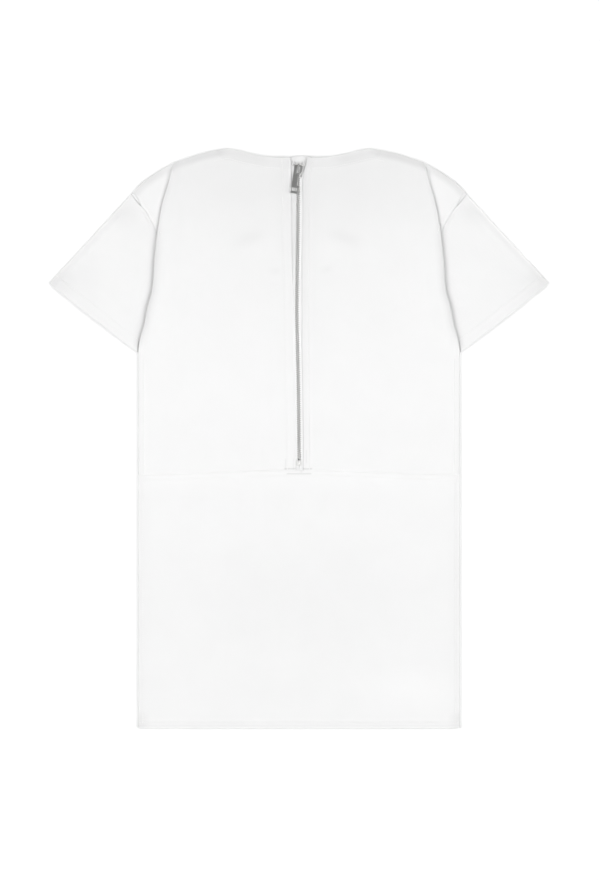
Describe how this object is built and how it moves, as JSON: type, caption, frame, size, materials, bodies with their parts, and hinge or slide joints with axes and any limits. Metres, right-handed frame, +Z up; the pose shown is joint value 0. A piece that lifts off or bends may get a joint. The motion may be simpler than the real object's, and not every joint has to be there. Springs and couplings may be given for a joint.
{
  "type": "denim dress",
  "caption": "Short-sleeved straight mini dress in white denim with an exposed metal back zip, laid flat with its back up.",
  "frame": {"origin": "middle of the garment's box, on the surface it lies on", "axes": "+Y from the hem to the neck, +Z up out of the back panels, X across; -X is the wearer's left"},
  "size_m": [0.75, 0.87, 0.0102],
  "materials": {
    "denim": "optic white cotton denim, matte twill",
    "zip_tape": "white woven zip tape, matte",
    "zip_metal": "nickel-plated, polished"
  },
  "bodies": {
    "root": {"front_bodice": "denim", "skirt_front": "denim", "skirt_back": "denim", "back_bodice_left": "denim", "back_bodice_right": "denim", "sleeve_left": "denim", "sleeve_right": "denim", "zip_guard": "denim", "zip_tape_left": "zip_tape", "zip_tape_right": "zip_tape", "zip_chain": "zip_metal", "zip_slider": "zip_metal", "zip_bottom_stop": "zip_metal", "zip_top_stop_left": "zip_metal", "zip_top_stop_right": "zip_metal"},
    "pull": {"zip_pull": "zip_metal"}
  },
  "joints": [
    {"name": "pull_hinge", "type": "hinge", "parent": "root", "child": "pull", "pos_m": [-0.0028, 0.4089, 0.0078], "axis": [-0.989, 0.1478, 0], "range_deg": [0, 165]}
  ]
}
